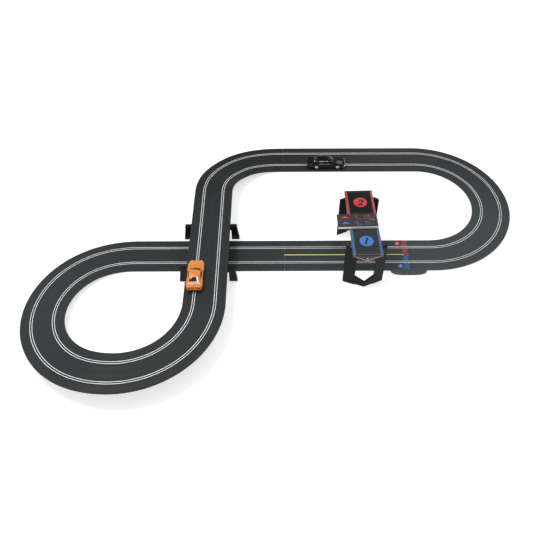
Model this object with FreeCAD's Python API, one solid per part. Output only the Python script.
import FreeCAD, Part
import math
import os

# Two-lane 1:32 slot car racing set: a figure-of-eight circuit with a bridge, two cars,
# two bridge supports, a power base and a lap-counter gantry. Millimetres, +Z up.
# Origin: centre of the set's footprint, on the floor. -Y is the front of the set.

Vector = FreeCAD.Vector
os.makedirs("parts", exist_ok=True)

# ---------------------------------------------------------------- shared dimensions
TRACK_W = 155.0          # width of a track section
HALF_W = TRACK_W / 2.0
TRACK_T = 8.0            # thickness of a track section
LANE = 39.0              # slot offset from the centreline
RADIUS = 292.0           # centreline radius of every curve
MODULE = 292.0           # length of one straight section
BRIDGE_Z = 72.0          # underside of the bridge straights above the floor
# The circuit reaches 2 radii left of the crossing, and 3 modules and a radius right of it.
CROSS_X = (RADIUS - 3 * MODULE) / 2.0
BASE_X = CROSS_X + 776.0      # middle of the power base


# ---------------------------------------------------------------- helpers
# A span is a (low, high) pair along one axis.
def about(centre, half):
    return (centre - half, centre + half)


def grow(span, by):
    return (span[0] - by, span[1] + by)


def on_side(side, near, far):
    """The span from near to far, on the negative (-1) or positive (+1) side of zero."""
    return tuple(sorted((side * near, side * far)))


def shifted(points, dx):
    return [(dx + x, other) for x, other in points]


def box(xs, ys, zs):
    return Part.makeBox(xs[1] - xs[0], ys[1] - ys[0], zs[1] - zs[0], Vector(xs[0], ys[0], zs[0]))


def cyl_y(radius, x, z, ys):
    return Part.makeCylinder(radius, ys[1] - ys[0], Vector(x, ys[0], z), Vector(0, 1, 0))


def cyl_z(radius, x, y, zs):
    return Part.makeCylinder(radius, zs[1] - zs[0], Vector(x, y, zs[0]), Vector(0, 0, 1))


def closed_wire(vectors):
    return Part.makePolygon(vectors + [vectors[0]])


def prism(vectors, direction):
    return Part.Face(closed_wire(vectors)).extrude(direction)


def prism_xz(points, ys):
    return prism([Vector(x, ys[0], z) for x, z in points], Vector(0, ys[1] - ys[0], 0))


def prism_xy(points, zs):
    return prism([Vector(x, y, zs[0]) for x, y in points], Vector(0, 0, zs[1] - zs[0]))


def prism_yz(points, xs):
    return prism([Vector(xs[0], y, z) for y, z in points], Vector(xs[1] - xs[0], 0, 0))


def moved(shape, x, y, z, degrees):
    """A copy turned about the Z axis, then shifted."""
    copy = shape.copy()
    turn = FreeCAD.Rotation(Vector(0, 0, 1), degrees)
    copy.Placement = FreeCAD.Placement(Vector(x, y, z), turn).multiply(copy.Placement)
    return copy


def largest_solid(shape):
    return max(shape.Solids, key=lambda solid: solid.Volume)


def first_solid(shape):
    """The solid inside a sweep's result, or the result itself if it holds none."""
    return shape.Solids[0] if shape.Solids else shape


# ---------------------------------------------------------------- track sections
SLOT_W = 3.0                   # guide slot width
SLOT_D = 6.0                   # guide slot depth
RAIL_IN, RAIL_OUT = 2.7, 4.9   # edges of a rail's groove, from the slot's centreline
RAIL_GROOVE = 1.6              # depth of the rail's groove
RAIL_PLAY = 0.05               # sideways play of a rail in its groove
SKIN = 2.6                     # top plate thickness
WALL = 2.0                     # skirt thickness
CHAMFER = 0.6                  # on the upper outer edges
SLOT_RIB_HALF = 3.2            # half width of the rib that holds a slot
MID_RIB_HALF = 0.9             # half width of the rib along the centreline
JOINT_GAP = 0.1                # half the gap between two sections
TONGUES = (-58.0, -20.0, 20.0, 58.0)     # offsets of the joining tongues from the centreline
# Ramp heights at the joints, along the direction of building
Z_UPPER = [0.0, 31.0, 72.0]
Z_LOOP = [72.0, 70.0, 70.0, 50.0, 29.0, 13.0, 0.0]


# A frame is (x, y, z, heading): a point of the centreline at the section's underside.
# Cross-section points are (u, w): u to the left of the heading, w up.
def track_profile():
    """Outline of a section: skirts, ribbed top plate, two guide slots, rail grooves."""
    top, under = TRACK_T, TRACK_T - SKIN
    groove, slot = TRACK_T - RAIL_GROOVE, TRACK_T - SLOT_D
    points = [(-HALF_W, 0.0), (-HALF_W, top - CHAMFER), (-HALF_W + CHAMFER, top)]
    for lane in (-LANE, LANE):
        points += [
            (lane - RAIL_OUT, top), (lane - RAIL_OUT, groove),
            (lane - RAIL_IN, groove), (lane - RAIL_IN, top),
            (lane - SLOT_W / 2, top), (lane - SLOT_W / 2, slot),
            (lane + SLOT_W / 2, slot), (lane + SLOT_W / 2, top),
            (lane + RAIL_IN, top), (lane + RAIL_IN, groove),
            (lane + RAIL_OUT, groove), (lane + RAIL_OUT, top)]
    points += [(HALF_W - CHAMFER, top), (HALF_W, top - CHAMFER), (HALF_W, 0.0),
               (HALF_W - WALL, 0.0), (HALF_W - WALL, under)]
    for rib, half in ((LANE, SLOT_RIB_HALF), (0.0, MID_RIB_HALF), (-LANE, SLOT_RIB_HALF)):
        points += [(rib + half, under), (rib + half, 0.0), (rib - half, 0.0), (rib - half, under)]
    points += [(-HALF_W + WALL, under), (-HALF_W + WALL, 0.0)]
    return points


def rail_profiles():
    low, high = TRACK_T - RAIL_GROOVE + 0.1, TRACK_T - 0.02
    profiles = []
    for lane in (-LANE, LANE):
        for side in (-1, 1):
            a, b = sorted((lane + side * (RAIL_IN + RAIL_PLAY), lane + side * (RAIL_OUT - RAIL_PLAY)))
            profiles.append([(a, low), (a, high), (b, high), (b, low)])
    return profiles


def wire_at(points, x, y, z, heading):
    return closed_wire([Vector(x - u * math.sin(heading), y + u * math.cos(heading), z + w)
                        for u, w in points])


def box_at(frame, along, across, up):
    x, y, z, heading = frame
    return moved(box(along, across, up), x, y, z, math.degrees(heading))


def ribs_and_tongues(rib_frames, end_frame):
    """Cross ribs under the plate, and the joining tongues at the section's far end."""
    top = TRACK_T - SKIN + 0.3
    spans = [(-HALF_W + 1.0, -LANE - 2.0), (-LANE + 2.0, -0.5),
             (0.5, LANE - 2.0), (LANE + 2.0, HALF_W - 1.0)]
    shapes = [box_at(frame, about(0.0, 0.8), span, (1.5, top))
              for frame in rib_frames for span in spans]
    for u in TONGUES:
        shapes.append(box_at(end_frame, (-9.0, -1.0), about(u, 7.0), (1.4, top)))
        shapes.append(box_at(end_frame, (-2.0, 6.0), about(u, 6.0), (1.4, 3.2)))
    return shapes


def straight(x, y, heading, z):
    """A straight section starting at (x, y), and its contact rails."""
    cos, sin = math.cos(heading), math.sin(heading)

    def frame(distance):
        return (x + cos * distance, y + sin * distance, z, heading)

    run = Vector(cos, sin, 0) * (MODULE - 2 * JOINT_GAP)

    def sweep(points):
        return Part.Face(wire_at(points, *frame(JOINT_GAP))).extrude(run)

    body = sweep(track_profile())
    rib_frames = [frame(MODULE * share) for share in (0.25, 0.5, 0.75)]
    body = body.fuse(ribs_and_tongues(rib_frames, frame(MODULE - JOINT_GAP)))
    rails = [sweep(points) for points in rail_profiles()]
    return body.removeSplitter(), rails


def level(share):
    return 0.0


def ramp(heights, index):
    """Height along section index of a ramp, as a function of the share of its length.

    A monotone cubic through the heights at the joints, flat at both ends.
    """
    count = len(heights)
    slopes = [0.0] * count
    for i in range(1, count - 1):
        before, after = heights[i] - heights[i - 1], heights[i + 1] - heights[i]
        if before * after > 0:
            slopes[i] = 2 * before * after / (before + after)

    def height(share):
        t = index + share
        i = min(int(t), count - 2)
        h = t - i
        return ((2 * h**3 - 3 * h**2 + 1) * heights[i] + (h**3 - 2 * h**2 + h) * slopes[i]
                + (-2 * h**3 + 3 * h**2) * heights[i + 1] + (h**3 - h**2) * slopes[i + 1])
    return height


def ramp_spine(frame):
    """Spline along a sloping curve's centreline."""
    count, step = 9, 1e-4
    points = [Vector(*frame(i / (count - 1.0))[:3]) for i in range(count)]

    def tangent(share):
        a, b = frame(max(share - step, 0.0)), frame(min(share + step, 1.0))
        return Vector(b[0] - a[0], b[1] - a[1], b[2] - a[2]).normalize()

    spline = Part.BSplineCurve()
    spline.interpolate(Points=points, InitialTangent=tangent(0.0), FinalTangent=tangent(1.0))
    return Part.Wire([spline.toShape()])


def curve(centre_x, centre_y, start, end, height=level):
    """A curve between two polar angles about its centre, and its contact rails."""
    turn = 1.0 if end > start else -1.0
    gap = JOINT_GAP / RADIUS
    gap_share = gap / abs(end - start)
    first, last = start + turn * gap, end - turn * gap

    def frame(share):
        angle = first + (last - first) * share
        return (centre_x + RADIUS * math.cos(angle), centre_y + RADIUS * math.sin(angle),
                height(gap_share + share * (1 - 2 * gap_share)), angle + turn * math.pi / 2)

    heights = [frame(i / 10.0)[2] for i in range(11)]
    if max(heights) - min(heights) < 1e-6:
        def sweep(points):
            return Part.Face(wire_at(points, *frame(0.0))).revolve(
                Vector(centre_x, centre_y, 0), Vector(0, 0, 1), math.degrees(last - first))
    else:
        spine = ramp_spine(frame)

        def sweep(points):
            pipe = Part.BRepOffsetAPI.MakePipeShell(spine)
            pipe.setBiNormalMode(Vector(0, 0, 1))      # keeps the section upright
            pipe.add(wire_at(points, *frame(0.0)), False, False)
            pipe.build()
            pipe.makeSolid()
            return pipe.shape()

    body = first_solid(sweep(track_profile()))
    body = body.fuse(ribs_and_tongues([frame(0.33), frame(0.67)], frame(1.0)))
    rails = [first_solid(sweep(points)) for points in rail_profiles()]
    # a fuse with a swept ramp can leave small faults
    if not body.isValid():
        body.fix(1e-4, 1e-4, 1e-3)
    return body, rails


def track():
    nodes, rails = {}, []

    def lay(name, section):
        nodes[name] = section[0]
        rails.extend(section[1])

    quarter, eighth = math.pi / 2, math.pi / 4
    right_x = CROSS_X + 3 * MODULE        # where the straights meet the right curves
    for i in range(3):
        lay(f"lower_straight_{i + 1}", straight(CROSS_X + (i - 1) * MODULE, 0.0, 0.0, 0.0))
    lay("power_base_track", straight(CROSS_X + 2 * MODULE, 0.0, 0.0, 0.0))
    # the ribs give way to the circuit board under the front lane
    nodes["power_base_track"] = nodes["power_base_track"].cut(
        box(grow(BOARD_X, 1.0), (-74.5, -45.5), (0.0, 4.8)))
    for i in range(4):
        start = -quarter + i * eighth
        lay(f"right_curve_{i + 1}", curve(right_x, RADIUS, start, start + eighth))
    for i in range(2):
        lay(f"upper_straight_{i + 1}", straight(right_x - i * MODULE, 2 * RADIUS, math.pi, 0.0))
    for i in range(2):
        start = quarter + i * eighth
        lay(f"upper_left_curve_{i + 1}",
            curve(CROSS_X + RADIUS, RADIUS, start, start + eighth, ramp(Z_UPPER, i)))
    for i in range(2):
        lay(f"bridge_straight_{i + 1}", straight(CROSS_X, RADIUS - i * MODULE, -quarter, BRIDGE_Z))
    for i in range(6):
        lay(f"loop_curve_{i + 1}",
            curve(CROSS_X - RADIUS, -RADIUS, -i * eighth, -(i + 1) * eighth, ramp(Z_LOOP, i)))
    nodes["contact_rails"] = Part.makeCompound(rails)
    return nodes


# ---------------------------------------------------------------- bridge supports
TRESTLE_REAR_Y, TRESTLE_FRONT_Y = 102.0, -120.0
TRESTLE_HALF_DEPTH = 8.0
TRESTLE_WALL = 2.0
# Leg and the pocket in its rear face: (distance from the bridge's centreline, z)
TRESTLE_LEG = [(80.0, 0.0), (111.0, 0.0), (111.0, 5.0), (103.0, 62.0), (103.0, BRIDGE_Z),
               (80.0, BRIDGE_Z)]
TRESTLE_POCKET = [(84.0, 5.0), (105.5, 5.0), (99.0, 58.0), (84.0, 58.0)]


def trestle(y):
    """Portal under the bridge: crossbar, two splayed legs with feet, and a web below the bar."""
    depth = about(y, TRESTLE_HALF_DEPTH)
    front = depth[0]
    legs = []
    for side in (-1, 1):
        leg = prism_xz([(CROSS_X + side * x, z) for x, z in TRESTLE_LEG], depth)
        pocket = prism_xz([(CROSS_X + side * x, z) for x, z in TRESTLE_POCKET],
                          (front + TRESTLE_WALL, depth[1] + 1.0))
        legs.append(leg.cut(pocket))
    bar = box(about(CROSS_X, 81.0), depth, (BRIDGE_Z - 12.0, BRIDGE_Z))
    relief = box(about(CROSS_X, 79.0), grow(depth, -TRESTLE_WALL), (BRIDGE_Z - 13.0, BRIDGE_Z - 2.5))
    web = box(about(CROSS_X, 81.0), (front, front + TRESTLE_WALL), (BRIDGE_Z - 20.0, BRIDGE_Z - 11.0))
    return legs[0].fuse([legs[1], bar.cut(relief), web]).removeSplitter()


# ---------------------------------------------------------------- power base
COVER_Y = -77.7              # straight rear edge of the terminal cover, along the track
COVER_HALF, COVER_REACH = 70.5, 23.3     # half length in X, and reach towards -Y
COVER_SIDE_Z = 8.8           # top of the cover's upright side
COVER_WALL = 1.9
COVER_STEPS = 24             # edges along the bulge
SOCKET_X, SOCKET_Z = 24.0, 5.5           # outer sockets' offset, and height of all three
BOARD_X = about(BASE_X, 38.0)
BOARD_TOP = 2.3
# Components on the board: (x from the base's middle, y, width)
COMPONENTS = [(-24, -66, 6), (-8, -60, 8), (12, -64, 5), (26, -58, 6)]


def half_moon(inset):
    """Plan of the terminal cover: a flattened half-oval on the front side of the track."""
    points = []
    for i in range(COVER_STEPS + 1):
        angle = math.pi * i / COVER_STEPS
        cos, sin = math.cos(angle), math.sin(angle)
        x = math.copysign(abs(cos) ** 0.62, cos) * (COVER_HALF - inset)
        points.append((BASE_X + x, COVER_Y - abs(sin) ** 0.80 * (COVER_REACH - inset)))
    return points


def terminal_cover():
    rings = [closed_wire([Vector(x, y, z) for x, y in half_moon(inset)])
             for inset, z in ((0.0, COVER_SIDE_Z), (0.6, 9.9), (COVER_WALL, 10.5))]
    cover = prism_xy(half_moon(0.0), (0.0, COVER_SIDE_Z)).fuse(Part.makeLoft(rings, True, True))
    # the hollow's two end points move forward to leave a rear wall
    hollow = half_moon(COVER_WALL)
    for end in (0, COVER_STEPS):
        x, y = hollow[end]
        hollow[end] = (x, y - COVER_WALL)
    cover = cover.cut(prism_xy(hollow, (-1.0, 8.7)))
    for x, radius in ((0.0, 3.6), (-SOCKET_X, 2.9), (SOCKET_X, 2.9)):
        cover = cover.cut(cyl_y(radius, BASE_X + x, SOCKET_Z, (-110.0, -96.0)))
    return cover


def terminal_sockets():
    block = box(about(BASE_X, 31.0), (-98.0, -83.0), (1.0, 8.6))
    block = block.cut(cyl_y(2.8, BASE_X, SOCKET_Z, (-98.5, -86.0)))
    for x in (-SOCKET_X, SOCKET_X):
        block = block.cut(cyl_y(1.8, BASE_X + x, SOCKET_Z, (-98.5, -85.0)))
    return block


def power_base_board():
    board = box(BOARD_X, (-73.5, -47.0), (0.9, BOARD_TOP))
    for x, y, width in COMPONENTS:
        board = board.fuse(box(about(BASE_X + x, width / 2), about(y, 3), (BOARD_TOP, 4.2)))
    return board.removeSplitter()


# ---------------------------------------------------------------- gantry
# Built square to the track, then turned and shifted as a whole.
GANTRY_X = CROSS_X + 595.0    # middle of the legs and beam, and axis of the turn
GANTRY_TURN, GANTRY_SHIFT = 1.65, -8.0   # degrees about Z, then mm in X
LEG_X = about(GANTRY_X, 76.0)
FOLD_DX = 2.0                 # X of the legs' fold, from GANTRY_X
LEG_EDGE_Y, LEG_FOLD_Y = 128.0, 161.0    # leg's outer face at its edges and at its fold
LEG_WALL = 11.0
LEG_TOP = 190.0
BEAM_X = about(GANTRY_X, 54.0)
BEAM_Y = (-168.5, 170.5)
BEAM_Z = (182.0, 194.0)
BEAM_TOP = BEAM_Z[1]
DISPLAY_X = (GANTRY_X - 97.5, GANTRY_X + 53.5)
DISPLAY_Y = (-35.5, 32.0)
DISPLAY_TOP = 202.5
SCREW_PLACES = [(GANTRY_X + dx, y) for dx in (-39.0, 39.0) for y in (-24.0, 24.0)]
PANEL_SPANS_Y = [(BEAM_Y[0] + 3.0, DISPLAY_Y[0] - 3.0), (DISPLAY_Y[1] + 9.0, BEAM_Y[1] - 3.0)]
FASCIA_X = GANTRY_X - 2.0     # lowest point of the start-light fascia
LIGHT_PITCH, LIGHT_DROP = 11.0, 3.0      # from one light to the next in X, and in Z
# Window in a leg: (x from GANTRY_X, z)
LEG_WINDOW = [(-35, 44), (FOLD_DX, 26), (37, 44), (37, 154), (29, 162), (-27, 162), (-35, 154)]
# Fascia: (x from FASCIA_X, z)
FASCIA = [(-44, 192), (44, 192), (44, 187), (0, 166), (-44, 187)]


def gantry_leg(side):
    """Folded wall with a window; side -1 is the front leg, +1 the rear leg."""
    left, right = LEG_X
    fold = GANTRY_X + FOLD_DX
    plan = [(left, LEG_EDGE_Y), (fold, LEG_FOLD_Y), (right, LEG_EDGE_Y),
            (right, LEG_EDGE_Y - LEG_WALL), (fold, LEG_FOLD_Y - LEG_WALL),
            (left, LEG_EDGE_Y - LEG_WALL)]
    through = on_side(side, 100.0, 175.0)
    leg = prism_xy([(x, side * y) for x, y in plan], (0.0, LEG_TOP))
    leg = leg.cut(prism_xz(shifted(LEG_WINDOW, GANTRY_X), through))
    leg = leg.cut(box(grow(BEAM_X, 0.2), through, (BEAM_Z[0], 200.0)))
    # the upper outer corners are cut off
    for edge, inner in ((left, left + 3.0), (right, right - 3.0)):
        leg = leg.cut(prism_xz([(edge, 187.0), (inner, 190.5), (edge, 190.5)], through))
    # the leg stands on its two wings; the folded middle clears the floor
    leg = leg.cut(box((GANTRY_X - 33.0, GANTRY_X + 35.5), through, (-1.0, 3.5)))
    return leg.removeSplitter()


def gantry_beam():
    """Channel open below, with panel recesses and screw holes in its top."""
    beam = box(BEAM_X, BEAM_Y, BEAM_Z)
    beam = beam.cut(box(grow(BEAM_X, -2.5), grow(BEAM_Y, -2.5), (BEAM_Z[0] - 1.0, BEAM_TOP - 3.0)))
    for ys in PANEL_SPANS_Y:
        beam = beam.cut(box(grow(BEAM_X, -9.5), ys, about(BEAM_TOP, 1.0)))
    for x, y in SCREW_PLACES:
        beam = beam.cut(cyl_z(1.7, x, y, (BEAM_TOP - 5.0, BEAM_TOP + 3.0)))
    ribs = [box(grow(BEAM_X, -2.0), about(y, 1.0), (BEAM_Z[0] + 3.0, BEAM_TOP - 2.5))
            for y in (-100.0, -60.0, 60.0, 100.0)]
    return beam.fuse(ribs).removeSplitter()


def lane_panels():
    return Part.makeCompound([box(grow(BEAM_X, -9.7), grow(ys, -0.2), (BEAM_TOP - 1.0, BEAM_TOP))
                              for ys in PANEL_SPANS_Y])


def gantry_screws():
    screws = []
    for x, y in SCREW_PLACES:
        head = cyl_z(3.0, x, y, (BEAM_TOP - 5.0, BEAM_TOP - 3.0))
        screws.append(head.fuse(cyl_z(1.4, x, y, (BEAM_TOP - 3.5, BEAM_TOP + 3.9))))
    return Part.makeCompound(screws)


def display_box(inset, zs):
    return box(grow(DISPLAY_X, -inset), grow(DISPLAY_Y, -inset), zs)


def display_housing():
    house = display_box(0.0, (BEAM_TOP, DISPLAY_TOP))
    house = house.cut(display_box(2.0, (BEAM_TOP + 1.6, DISPLAY_TOP - 1.2)))
    house = house.cut(display_box(4.0, (DISPLAY_TOP - 2.0, DISPLAY_TOP + 1.0)))
    for x, y in SCREW_PLACES:
        house = house.fuse(cyl_z(3.0, x, y, (BEAM_TOP + 0.5, BEAM_TOP + 5.0)))
        house = house.cut(cyl_z(1.45, x, y, (BEAM_TOP - 1.0, BEAM_TOP + 4.0)))
    return house.removeSplitter()


def lap_sensors():
    """A pod under the beam over each lane, with a blind hole from below."""
    pods = []
    for y in (-LANE, LANE):
        pod = box(about(GANTRY_X, 8.0), about(y, 8.0), (176.0, BEAM_TOP - 3.0))
        pods.append(pod.cut(cyl_z(2.6, GANTRY_X, y, (175.0, 179.0))))
    return Part.makeCompound(pods)


def start_light_fascia():
    """Pointed plate on the beam's front end, with a V of five blind holes."""
    front = BEAM_Y[0] - 4.0
    fascia = prism_xz(shifted(FASCIA, FASCIA_X), (front, BEAM_Y[0]))
    for k in (-2, -1, 0, 1, 2):
        z = 183.0 - (2 - abs(k)) * LIGHT_DROP
        fascia = fascia.cut(cyl_y(2.6, FASCIA_X + k * LIGHT_PITCH, z, (front - 1.0, front + 1.5)))
    return fascia


def gantry():
    nodes = {
        "gantry_leg_front": gantry_leg(-1),
        "gantry_leg_rear": gantry_leg(1),
        "gantry_beam": gantry_beam(),
        "lane_panels": lane_panels(),
        "display_housing": display_housing(),
        "display_window": display_box(4.1, (DISPLAY_TOP - 1.2, DISPLAY_TOP)),
        "display_board": display_box(5.0, (BEAM_TOP + 5.2, BEAM_TOP + 6.6)),
        "gantry_screws": gantry_screws(),
        "lap_sensors": lap_sensors(),
        "start_light_fascia": start_light_fascia(),
    }
    for shape in nodes.values():
        shape.rotate(Vector(GANTRY_X, 0, 0), Vector(0, 0, 1), GANTRY_TURN)
        shape.translate(Vector(GANTRY_SHIFT, 0, 0))
    return nodes


# ---------------------------------------------------------------- running gear of a car
TYRE_R, RIM_R = 10.2, 7.6
WHEEL_IN, WHEEL_OUT = 20.2, 29.2         # a wheel's inner and outer face, from the middle
AXLE_R, AXLE_BORE = 1.2, 1.25
AXLE_Z = TYRE_R + 0.10                   # axle height above the track surface
GEAR_MODULE, GEAR_TEETH, PINION_TEETH = 0.5, 30, 11
GEAR_SPACING = GEAR_MODULE * (GEAR_TEETH + PINION_TEETH) / 2.0
GEAR_Y = (13.4, 17.2)
PRESSURE_ANGLE = math.radians(20)
BACKLASH = 0.16
SHAFT_R, SHAFT_BORE = 1.0, 1.05
PIN_R, PIN_BORE = 1.9, 1.95              # guide pin
BLADE_T, BLADE_D = 2.4, 5.2              # guide blade thickness and depth
PAN_Z = (1.0, 2.6)                       # chassis underpan


def gear_points(teeth, phase):
    """Outline of an involute gear about its own centre."""
    pitch_r = GEAR_MODULE * teeth / 2.0
    base_r = pitch_r * math.cos(PRESSURE_ANGLE)
    tip_r, root_r = pitch_r + 0.92 * GEAR_MODULE, pitch_r - 1.2 * GEAR_MODULE

    def involute(angle):
        return math.tan(angle) - angle

    half_tooth = math.pi / (2 * teeth) - BACKLASH / (2 * pitch_r)
    flank = []                           # (radius, half the tooth's angle there)
    for k in range(5):
        radius = base_r + (tip_r - base_r) * k / 4.0
        angle = math.acos(base_r / radius)
        flank.append((radius, half_tooth + involute(PRESSURE_ANGLE) - involute(angle)))
    # both gears' roots lie inside the base circle; the flank runs radially down to them
    flank.insert(0, (root_r, flank[0][1]))
    points = []
    for i in range(teeth):
        middle = phase + 2 * math.pi * i / teeth
        for radius, half in flank:
            points.append((radius * math.cos(middle - half), radius * math.sin(middle - half)))
        for radius, half in reversed(flank):
            points.append((radius * math.cos(middle + half), radius * math.sin(middle + half)))
    return points


def spur(teeth, phase, x, bore):
    points = [(x + px, AXLE_Z + pz) for px, pz in gear_points(teeth, phase)]
    return prism_xz(points, GEAR_Y).cut(cyl_y(bore, x, AXLE_Z, grow(GEAR_Y, 1.0)))


# ---------------------------------------------------------------- cars
# A car's own frame: +X forward, guide pin at the origin, Z = 0 at the track surface.
# side, side_glass: (x, z); plan: (x, half width); front_view: (half width, z).
# screens: windscreen, then rear window, each (x, half width) at its front edge and at its
# rear edge, and the height the opening starts from. glass_x: ends of the window moulding.
CAR_HALF_W = 31.0
SHELL_WALL = 1.3
ORANGE = dict(
    front_axle=-17.0, rear_axle=-100.0, nose=14.0, tail=-126.0, posts=(-30.0, -117.0),
    side=[(14, 4.2), (14, 9), (12.5, 13.5), (7, 17.5), (-6, 21), (-29, 24), (-51, 36.2),
          (-63, 38.2), (-78, 37.6), (-101, 29.5), (-116, 28.6), (-122, 30), (-126, 28.5),
          (-126, 14), (-123, 6.0), (-110, 4.2)],
    plan=[(14, 14), (11, 23), (3, 29), (-8, 31), (-112, 31), (-121, 29), (-126, 24)],
    front_view=[(31, 3.0), (31, 20.5), (29.5, 23.5), (21.5, 37.0), (19, 40.0)],
    side_glass=[(-38, 25.5), (-54, 34.2), (-63, 35.6), (-76, 35.2), (-88, 28.5), (-88, 25.5)],
    screens=[((-32.5, 23.8), (-50.0, 17.5), 27.0), ((-81.5, 18.5), (-99.5, 17.5), 30.5)],
    glass_x=(-100.0, -30.0),
)
BLACK = dict(
    front_axle=-13.0, rear_axle=-107.0, nose=20.0, tail=-148.0, posts=(-24.5, -124.0),
    side=[(20, 4.2), (20, 11), (18, 17), (12, 20.5), (-6, 23), (-28, 25.5), (-48, 38.5),
          (-62, 41.2), (-88, 41.0), (-104, 37.0), (-120, 29.8), (-140, 28.6), (-147, 26.5),
          (-148, 14), (-146, 6.0), (-130, 4.2)],
    plan=[(20, 18), (17, 25), (8, 29.5), (-4, 31), (-132, 31), (-143, 28.5), (-148, 23)],
    front_view=[(31, 3.0), (31, 21.0), (29.5, 24.5), (22.5, 39.0), (19, 43.0)],
    side_glass=[(-37, 27.0), (-51, 36.6), (-62, 38.6), (-88, 38.4), (-100, 34.8),
                (-108, 30.5), (-108, 27.0)],
    screens=[((-31.0, 24.2), (-47.5, 18.5), 27.0), ((-105.5, 20.0), (-118.5, 18.5), 30.5)],
    glass_x=(-119.0, -29.0),
)


def full_plan(half):
    return [(x, -y) for x, y in half] + [(x, y) for x, y in reversed(half)]


def full_front_view(half):
    return [(-y, z) for y, z in half] + [(y, z) for y, z in reversed(half)]


def inset_polygon(points, inset):
    """Moves every edge of a closed polygon inwards."""
    count = len(points)
    area = sum(points[i][0] * points[(i + 1) % count][1] - points[(i + 1) % count][0] * points[i][1]
               for i in range(count))
    sign = 1.0 if area > 0 else -1.0
    lines = []                           # (normal x, normal y, distance from the origin)
    for i in range(count):
        (x0, y0), (x1, y1) = points[i], points[(i + 1) % count]
        length = math.hypot(x1 - x0, y1 - y0)
        nx, ny = -sign * (y1 - y0) / length, sign * (x1 - x0) / length
        lines.append((nx, ny, nx * x0 + ny * y0 + inset))
    corners = []
    for i in range(count):
        a, b = lines[i - 1], lines[i]
        det = a[0] * b[1] - a[1] * b[0]
        if abs(det) < 1e-6:              # edges in line: slide the corner along the normal
            corners.append((points[i][0] + a[0] * inset, points[i][1] + a[1] * inset))
        else:
            corners.append(((a[2] * b[1] - a[1] * b[2]) / det, (a[0] * b[2] - a[2] * b[0]) / det))
    return corners


def body_solid(spec, inset):
    """The space common to the car's side, plan and front outlines."""
    side = prism_xz(inset_polygon(spec["side"], inset), (-40, 40))
    plan = prism_xy(inset_polygon(full_plan(spec["plan"]), inset), (-1, 60))
    front = prism_yz(inset_polygon(full_front_view(spec["front_view"]), inset),
                     (spec["tail"] - 2, spec["nose"] + 2))
    return side.common(plan).common(front)


def body_shell(spec):
    outer = body_solid(spec, 0.0)
    inner = body_solid(spec, SHELL_WALL)
    # opens the underside
    low_z = (-5, 12.0)
    low = box(grow((spec["tail"], spec["nose"]), -SHELL_WALL),
              about(0.0, CAR_HALF_W - SHELL_WALL), low_z)
    low = low.common(prism_xy(inset_polygon(full_plan(spec["plan"]), SHELL_WALL), low_z))
    posts = [cyl_z(3.0, x, 0, (4.6, 44.6)).common(outer) for x in spec["posts"]]
    shell = outer.cut(inner).cut(low).fuse(posts)
    for x in spec["posts"]:
        shell = shell.cut(cyl_z(0.95, x, 0, (0, 12.0)))
    for x in (spec["front_axle"], spec["rear_axle"]):
        shell = shell.cut(cyl_y(TYRE_R + 1.6, x, AXLE_Z, (-45, 45)))
    for side in (-1, 1):
        shell = shell.cut(prism_xz(spec["side_glass"], on_side(side, 17.0, 40.0)))
    for (xa, ya), (xb, yb), bottom in spec["screens"]:
        shell = shell.cut(prism_xy([(xa, -ya), (xa, ya), (xb, yb), (xb, -yb)], (bottom, 60)))
    return largest_solid(shell)


def windows(spec):
    """Clear glasshouse moulding that sits just inside the shell."""
    def filled(inset):
        side = prism_xz(inset_polygon(spec["side"], inset), (-40, 40))
        front = inset_polygon(full_front_view(spec["front_view"]), inset)
        return side.common(prism_yz(front, (spec["tail"], spec["nose"])))

    glass = filled(1.45).cut(filled(2.35))
    glass = glass.common(box(spec["glass_x"], about(0.0, 26.5), (24.2, 60.0)))
    for x in spec["posts"]:
        glass = glass.cut(cyl_z(3.3, x, 0, (0, 60.0)))
    return largest_solid(glass)


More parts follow.
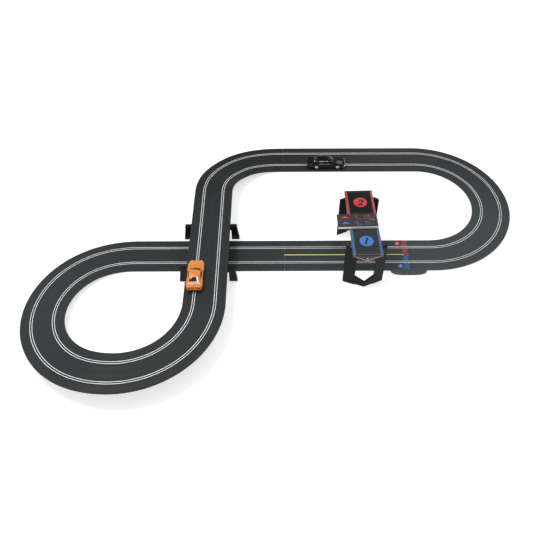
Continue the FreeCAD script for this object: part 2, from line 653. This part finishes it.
def chassis(spec):
    """Underpan, motor cradle, axle bearings, guide boss and screw bosses."""
    front, rear = spec["front_axle"], spec["rear_axle"]
    motor_x = rear + GEAR_SPACING
    base = PAN_Z[0]
    pan = [(9, 8), (6, 14), (front + 12.5, 17.5), (front - 12.5, 17.5), (front - 14, 27),
           (rear + 14, 27), (rear + 12.5, 19.6), (rear - 12.5, 19.6), (rear - 14, 19.6),
           (spec["tail"] + 5, 17)]                 # (x, half width)
    plate = prism_xy(full_plan(pan), PAN_Z)
    plate = plate.cut(box(about(motor_x, 7.8), about(0.0, 12.3), (0, 5)))
    plate = plate.cut(box((rear - 8.8, motor_x + 4.5), (12.9, 17.6), (0, 5)))      # gear slot
    added = []
    for side in (-1, 1):
        # rear and front bearings, motor cradle, side rail
        added += [box(about(rear, 4), on_side(side, 17.8, 19.6), (base, 14.0)),
                  box(about(front, 4), on_side(side, 15.4, 17.4), (base, 14.0)),
                  box(about(motor_x, 7.0), on_side(side, 12.25, 13.15), (base, 15.0)),
                  box((rear + 17, front - 17), on_side(side, 24.2, 26.6), (base, 6.0))]
    # wall ahead of the motor, and two ribs running forward from it
    added.append(box((motor_x + 8.0, motor_x + 9.6), (-13.1, 13.1), (base, 14.0)))
    for side in (-1, 1):
        added.append(box((motor_x + 9.0, motor_x + 22.8), on_side(side, 8.4, 10.0), (base, 8.0)))
    added.append(cyl_z(4.2, 0, 0, (1.9, 8.5)))
    for x in spec["posts"]:
        added.append(cyl_z(3.4, x, 0, (base, 4.4)))
    body = plate.fuse(added)
    for x, bore in ((rear, AXLE_BORE), (front, AXLE_BORE), (motor_x, 1.8)):
        body = body.cut(cyl_y(bore, x, AXLE_Z, (-30, 30)))
    body = body.cut(cyl_z(6.4, 0, 0, (0, 1.9)))
    body = body.cut(cyl_z(PIN_BORE, 0, 0, (0, 12)))
    for x in spec["posts"]:
        body = body.cut(cyl_z(1.1, x, 0, (0, 6.0)))
        body = body.cut(cyl_z(2.5, x, 0, (0, 2.4)))
    return largest_solid(body.removeSplitter())


def motor(x):
    can = box(about(x, 7.5), about(0.0, 12.0), about(AXLE_Z, 9.0))
    can = can.makeFillet(3.0, [edge for edge in can.Edges if edge.BoundBox.YLength > 20])
    can = can.cut(box(about(x, 6.6), about(0.0, 11.0), about(AXLE_Z, 8.1)))
    return can.cut(cyl_y(SHAFT_BORE, x, AXLE_Z, (-20, 20)))


def armature(x):
    shaft = cyl_y(SHAFT_R, x, AXLE_Z, (-14.5, 17.5))
    rotor = shaft.fuse(cyl_y(5.6, x, AXLE_Z, (-8.0, 7.0)))
    # a tooth gap of the pinion faces forward, and a tooth faces the rear axle's gear
    # half a pitch off it, so that the two mesh
    pinion = spur(PINION_TEETH, math.pi + math.pi / PINION_TEETH, x, 0.6)
    return rotor.fuse(pinion).removeSplitter()


def rim(x, side):
    """Wheel rim with a ring-shaped recess in its outer face."""
    disc = cyl_y(RIM_R, x, AXLE_Z, on_side(side, WHEEL_IN, WHEEL_OUT))
    recess = cyl_y(6.7, x, AXLE_Z, on_side(side, WHEEL_OUT - 3.0, WHEEL_OUT + 0.5))
    hub = cyl_y(2.2, x, AXLE_Z, on_side(side, WHEEL_OUT - 4.0, WHEEL_OUT + 2.0))
    return disc.cut(recess.cut(hub))


def axle(x, pressed_on):
    """Axle, the given parts and two rims in one piece."""
    rod = cyl_y(AXLE_R, x, AXLE_Z, (-27.0, 27.0))
    return rod.fuse(pressed_on + [rim(x, 1), rim(x, -1)]).removeSplitter()


def rear_axle(x):
    hub = cyl_y(2.6, x, AXLE_Z, (GEAR_Y[0] - 1.2, GEAR_Y[0] + 0.2))
    return axle(x, [spur(GEAR_TEETH, 0.0, x, 0.8), hub])


def tyres(x):
    pair = []
    for side in (-1, 1):
        width = on_side(side, WHEEL_IN, WHEEL_OUT)
        tyre = cyl_y(TYRE_R, x, AXLE_Z, width)
        rounded = [edge for edge in tyre.Edges if edge.Closed and edge.BoundBox.YLength < 0.1]
        tyre = tyre.makeFillet(0.9, rounded)
        pair.append(tyre.cut(cyl_y(RIM_R, x, AXLE_Z, grow(width, 1.0))))
    return Part.makeCompound(pair)


def guide():
    """Blade that runs in the slot, with its flange and pin."""
    blade = prism_xz([(10.5, 0.3), (10.5, -2.0), (8.0, -BLADE_D), (-9.0, -BLADE_D),
                      (-11.5, -2.5), (-11.5, 0.3)], about(0.0, BLADE_T / 2))
    flange = cyl_z(5.6, 0, 0, (0.3, 1.6))
    return blade.fuse([flange, cyl_z(PIN_R, 0, 0, (1.0, 9.6))]).removeSplitter()


def body_screws(spec):
    """Cross-head screws, driven from below into the shell's posts."""
    screws = []
    for x in spec["posts"]:
        screw = cyl_z(2.3, x, 0, (1.0, 2.4)).fuse(cyl_z(0.95, x, 0, (2.0, 10.0)))
        for half_x, half_y in ((1.6, 0.3), (0.3, 1.6)):
            screw = screw.cut(box(about(x, half_x), about(0.0, half_y), (0.9, 1.5)))
        screws.append(screw)
    return Part.makeCompound(screws)


def car(spec):
    """Every piece of a car, in the car's own frame."""
    front, rear = spec["front_axle"], spec["rear_axle"]
    motor_x = rear + GEAR_SPACING
    return {
        "body_shell": body_shell(spec),
        "windows": windows(spec),
        "chassis": chassis(spec),
        "motor": motor(motor_x),
        "armature": armature(motor_x),
        "rear_axle": rear_axle(rear),
        "front_axle": axle(front, []),
        "rear_tyres": tyres(rear),
        "front_tyres": tyres(front),
        "guide": guide(),
        "magnet": box((rear + 34.0, rear + 44.0), (-12.0, 12.0), (PAN_Z[1], PAN_Z[1] + 2.4)),
        "screws": body_screws(spec),
    }


# Each car: name, design, place (x, y, z) of its guide pin, heading in degrees
CARS = [
    ("orange", ORANGE, (CROSS_X - LANE, -119.0, BRIDGE_Z + TRACK_T), 90.0),
    ("black", BLACK, (CROSS_X + 548.0, 2 * RADIUS - LANE, TRACK_T), 0.0),
]


def main():
    nodes = track()
    nodes["trestle_rear"] = trestle(TRESTLE_REAR_Y)
    nodes["trestle_front"] = trestle(TRESTLE_FRONT_Y)
    nodes["terminal_cover"] = terminal_cover()
    nodes["terminal_sockets"] = terminal_sockets()
    nodes["power_base_board"] = power_base_board()
    nodes.update(gantry())
    for name, spec, place, heading in CARS:
        for piece, shape in car(spec).items():
            nodes[f"{name}_{piece}"] = moved(shape, *place, heading)
    for name, shape in nodes.items():
        shape.exportStep(f"parts/{name}.step")


main()
